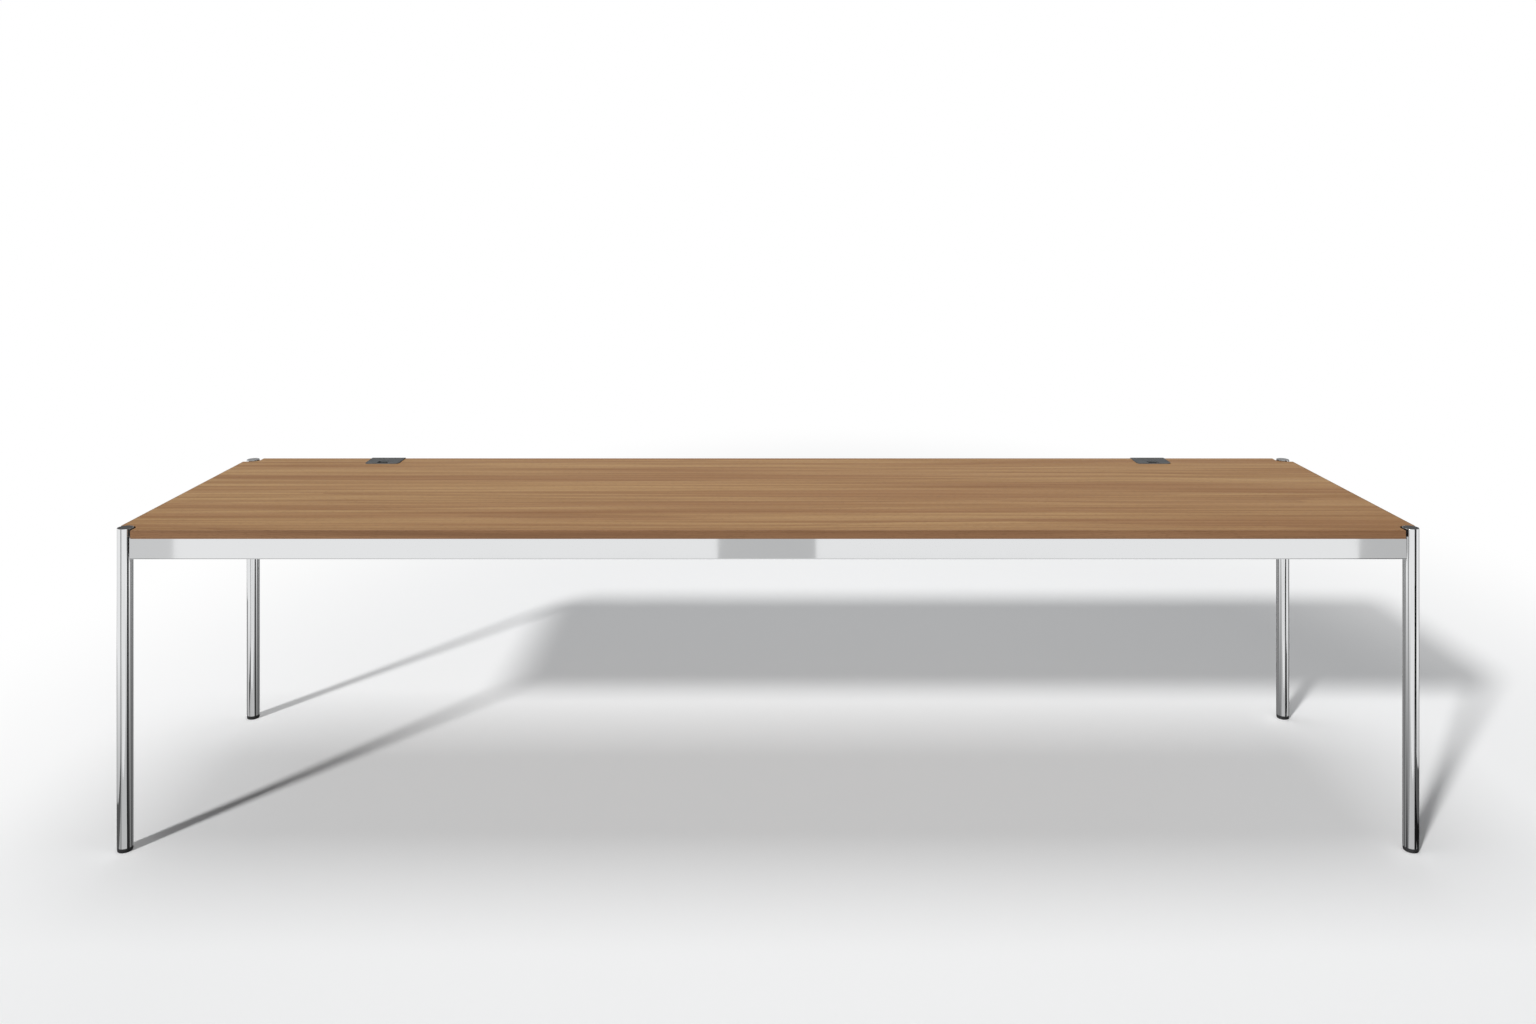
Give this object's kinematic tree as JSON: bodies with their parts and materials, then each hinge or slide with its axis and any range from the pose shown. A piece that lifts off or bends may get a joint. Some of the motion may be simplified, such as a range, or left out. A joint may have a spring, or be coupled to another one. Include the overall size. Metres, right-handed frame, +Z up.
{
  "type": "meeting table",
  "caption": "Long rectangular meeting table: veneered wood top on a chromed tube frame with corner legs, levelling feet and hinged cable outlets at the back edge.",
  "frame": {"origin": "on the floor under the middle of the top", "axes": "+Z up, +X along the length, +Y towards the edge with the cable outlets"},
  "size_m": [3, 0.75, 0.742],
  "materials": {
    "wood_veneer": "satin lacquer",
    "wood_lipping": "satin lacquer",
    "board_core": "raw",
    "chrome": "polished",
    "steel": "zinc plated",
    "black_nylon": "moulded",
    "graphite_plastic": "moulded"
  },
  "bodies": {
    "table": {"corner_plug_back_left": "steel", "corner_plug_back_right": "steel", "corner_plug_front_left": "steel", "corner_plug_front_right": "steel", "cross_rail_end_plates": "steel", "cross_rail_left": "steel", "cross_rail_right": "steel", "cross_rail_rivet_nuts": "steel", "cross_rail_screws": "steel", "edge_lipping_back": "wood_lipping", "edge_lipping_front": "wood_lipping", "edge_lipping_left": "wood_lipping", "edge_lipping_right": "wood_lipping", "foot_socket_back_left": "black_nylon", "foot_socket_back_right": "black_nylon", "foot_socket_front_left": "black_nylon", "foot_socket_front_right": "black_nylon", "leg_back_left": "chrome", "leg_back_right": "chrome", "leg_cap_back_left": "chrome", "leg_cap_back_right": "chrome", "leg_cap_front_left": "chrome", "leg_cap_front_right": "chrome", "leg_front_left": "chrome", "leg_front_right": "chrome", "outlet_frame_left": "graphite_plastic", "outlet_frame_right": "graphite_plastic", "outlet_hinge_pin_left": "steel", "outlet_hinge_pin_right": "steel", "outlet_screws": "steel", "rail_back": "chrome", "rail_dowel_bolts": "steel", "rail_end_blocks_back": "steel", "rail_end_blocks_front": "steel", "rail_end_blocks_left": "steel", "rail_end_blocks_right": "steel", "rail_front": "chrome", "rail_left": "chrome", "rail_right": "chrome", "rail_set_screws": "steel", "tabletop_backing_veneer": "wood_veneer", "tabletop_core": "board_core", "tabletop_top_veneer": "wood_veneer", "top_inserts": "steel", "top_screws": "steel"},
    "foot_front_left": {"foot_sole_front_left": "black_nylon"},
    "foot_screw_front_left": {"foot_spindle_front_left": "steel", "foot_collar_front_left": "black_nylon"},
    "foot_front_right": {"foot_sole_front_right": "black_nylon"},
    "foot_screw_front_right": {"foot_spindle_front_right": "steel", "foot_collar_front_right": "black_nylon"},
    "foot_back_right": {"foot_sole_back_right": "black_nylon"},
    "foot_screw_back_right": {"foot_spindle_back_right": "steel", "foot_collar_back_right": "black_nylon"},
    "foot_back_left": {"foot_sole_back_left": "black_nylon"},
    "foot_screw_back_left": {"foot_spindle_back_left": "steel", "foot_collar_back_left": "black_nylon"},
    "lid_left": {"outlet_lid_left": "graphite_plastic"},
    "lid_right": {"outlet_lid_right": "graphite_plastic"}
  },
  "joints": [
    {"name": "foot_front_left_travel", "type": "slide", "parent": "table", "child": "foot_front_left", "axis": [0, 0, -1], "range_m": [0, 0.015]},
    {"name": "foot_front_left_turn", "type": "hinge", "parent": "foot_front_left", "child": "foot_screw_front_left", "pos_m": [-1.479, -0.354, 0.005], "axis": [0, 0, -1], "range_deg": [0, 3600]},
    {"name": "foot_front_right_travel", "type": "slide", "parent": "table", "child": "foot_front_right", "axis": [0, 0, -1], "range_m": [0, 0.015]},
    {"name": "foot_front_right_turn", "type": "hinge", "parent": "foot_front_right", "child": "foot_screw_front_right", "pos_m": [1.479, -0.354, 0.005], "axis": [0, 0, -1], "range_deg": [0, 3600]},
    {"name": "foot_back_right_travel", "type": "slide", "parent": "table", "child": "foot_back_right", "axis": [0, 0, -1], "range_m": [0, 0.015]},
    {"name": "foot_back_right_turn", "type": "hinge", "parent": "foot_back_right", "child": "foot_screw_back_right", "pos_m": [1.479, 0.354, 0.005], "axis": [0, 0, -1], "range_deg": [0, 3600]},
    {"name": "foot_back_left_travel", "type": "slide", "parent": "table", "child": "foot_back_left", "axis": [0, 0, -1], "range_m": [0, 0.015]},
    {"name": "foot_back_left_turn", "type": "hinge", "parent": "foot_back_left", "child": "foot_screw_back_left", "pos_m": [-1.479, 0.354, 0.005], "axis": [0, 0, -1], "range_deg": [0, 3600]},
    {"name": "lid_left_hinge", "type": "hinge", "parent": "table", "child": "lid_left", "pos_m": [-1.095, 0.3696, 0.74], "axis": [-1, 0, 0], "range_deg": [0, 95]},
    {"name": "lid_right_hinge", "type": "hinge", "parent": "table", "child": "lid_right", "pos_m": [1.095, 0.3696, 0.74], "axis": [-1, 0, 0], "range_deg": [0, 95]}
  ],
  "couplings": [
    {"joint": "foot_front_left_travel", "follows": "foot_front_left_turn", "m_per_rad": 0.00023873},
    {"joint": "foot_front_right_travel", "follows": "foot_front_right_turn", "m_per_rad": 0.00023873},
    {"joint": "foot_back_right_travel", "follows": "foot_back_right_turn", "m_per_rad": 0.00023873},
    {"joint": "foot_back_left_travel", "follows": "foot_back_left_turn", "m_per_rad": 0.00023873}
  ]
}
